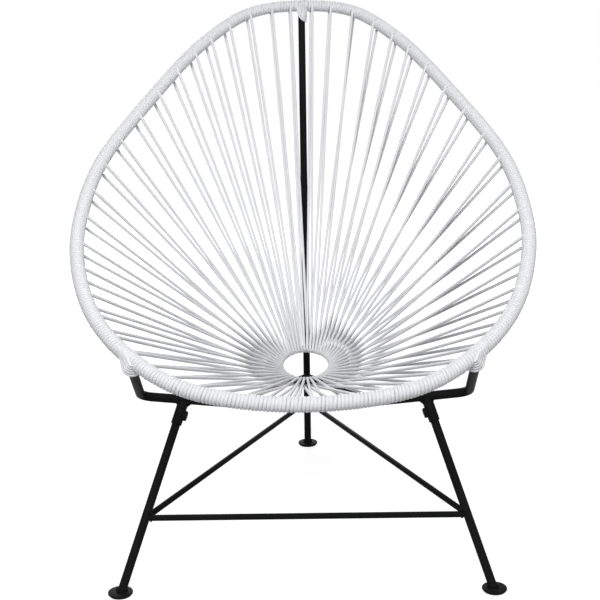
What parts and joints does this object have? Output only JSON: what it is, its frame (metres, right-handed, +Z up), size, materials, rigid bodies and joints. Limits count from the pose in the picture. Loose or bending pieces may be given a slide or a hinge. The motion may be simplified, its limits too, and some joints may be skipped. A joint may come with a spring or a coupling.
{
  "type": "patio chair",
  "caption": "Low patio chair: a pear-shaped steel rim wound with cord, cords strung from the rim to a small centre ring as the seat and back, on a tripod of steel tube.",
  "frame": {"origin": "floor level below the middle of the chair's overall width and depth", "axes": "+Z up, +Y towards the back of the chair, +X towards the right-hand side of the picture (the sitter's left), so the seat opens towards -Y"},
  "size_m": [0.7292, 0.9017, 0.8688],
  "materials": {
    "frame_coat": "satin powder coat, near black",
    "cord": "smooth satin vinyl, white",
    "foot_rubber": "matt, black"
  },
  "bodies": {
    "root": {"back_spine": "frame_coat", "centre_ring": "frame_coat", "cord_run_01_left": "cord", "cord_run_01_right": "cord", "cord_run_02_left": "cord", "cord_run_02_right": "cord", "cord_run_03_left": "cord", "cord_run_03_right": "cord", "cord_run_04_left": "cord", "cord_run_04_right": "cord", "cord_run_05_left": "cord", "cord_run_05_right": "cord", "cord_run_06_left": "cord", "cord_run_06_right": "cord", "cord_run_07_left": "cord", "cord_run_07_right": "cord", "cord_run_08_left": "cord", "cord_run_08_right": "cord", "cord_run_09_left": "cord", "cord_run_09_right": "cord", "cord_run_10_left": "cord", "cord_run_10_right": "cord", "cord_run_11_left": "cord", "cord_run_11_right": "cord", "cord_run_12_left": "cord", "cord_run_12_right": "cord", "cord_run_13_left": "cord", "cord_run_13_right": "cord", "crossbar": "frame_coat", "foot_disc_left": "frame_coat", "foot_disc_rear": "frame_coat", "foot_disc_right": "frame_coat", "foot_pad_left": "foot_rubber", "foot_pad_rear": "foot_rubber", "foot_pad_right": "foot_rubber", "front_brace": "frame_coat", "front_leg_left": "frame_coat", "front_leg_right": "frame_coat", "leg_socket_left": "frame_coat", "leg_socket_right": "frame_coat", "rim_tube": "frame_coat", "seat_arm_left": "frame_coat", "seat_arm_right": "frame_coat", "side_brace_left": "frame_coat", "side_brace_right": "frame_coat", "socket_bolt_left": "frame_coat", "socket_bolt_right": "frame_coat"}
  },
  "joints": []
}
